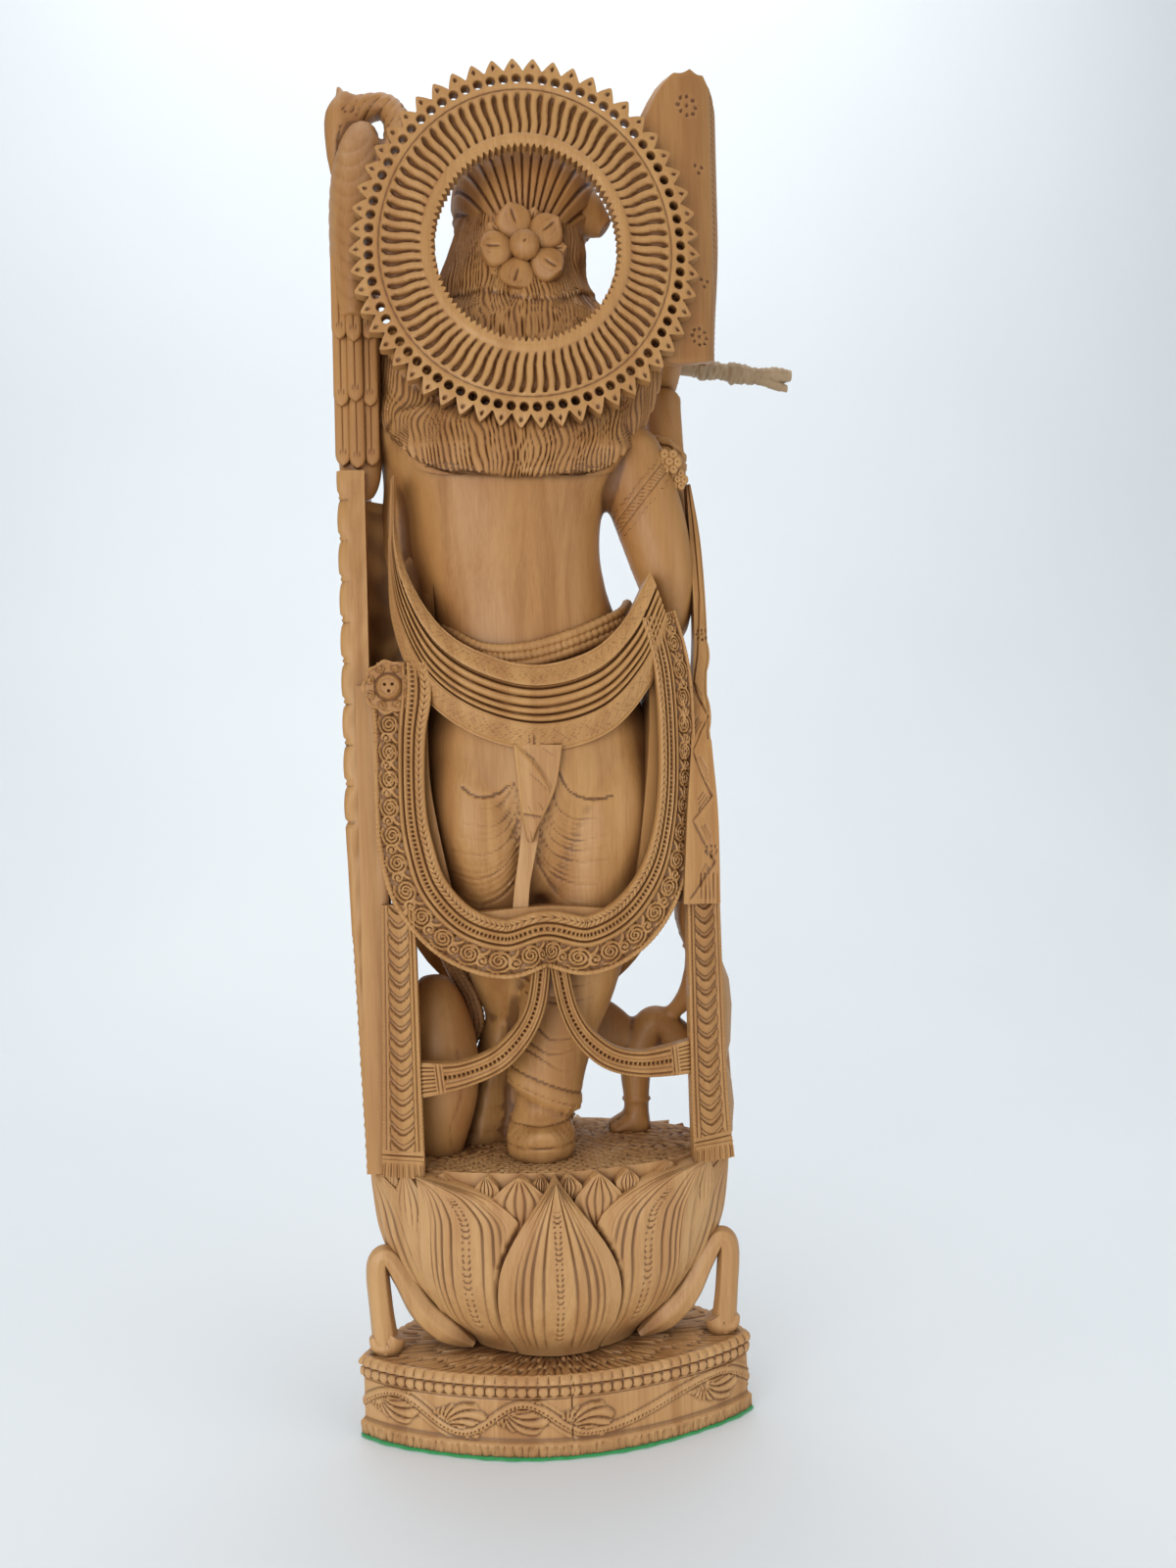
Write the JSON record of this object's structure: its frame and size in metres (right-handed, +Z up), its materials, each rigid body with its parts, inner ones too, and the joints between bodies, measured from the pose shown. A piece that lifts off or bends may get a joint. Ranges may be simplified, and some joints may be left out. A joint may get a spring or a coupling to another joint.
{
  "type": "krishna figure",
  "caption": "Carved wooden flute player with a ring halo, standing with crossed legs on a lotus and an oval plinth.",
  "frame": {"origin": "middle of the felt's underside", "axes": "+Z up, the figure looks along -Y, its own left is +X"},
  "size_m": [0.2253, 0.1103, 0.6051],
  "materials": {
    "wood": "satin",
    "flute_wood": "satin",
    "felt": "matte"
  },
  "bodies": {
    "root": {"felt_pad": "felt", "carving": "wood", "flute": "flute_wood"}
  },
  "joints": []
}
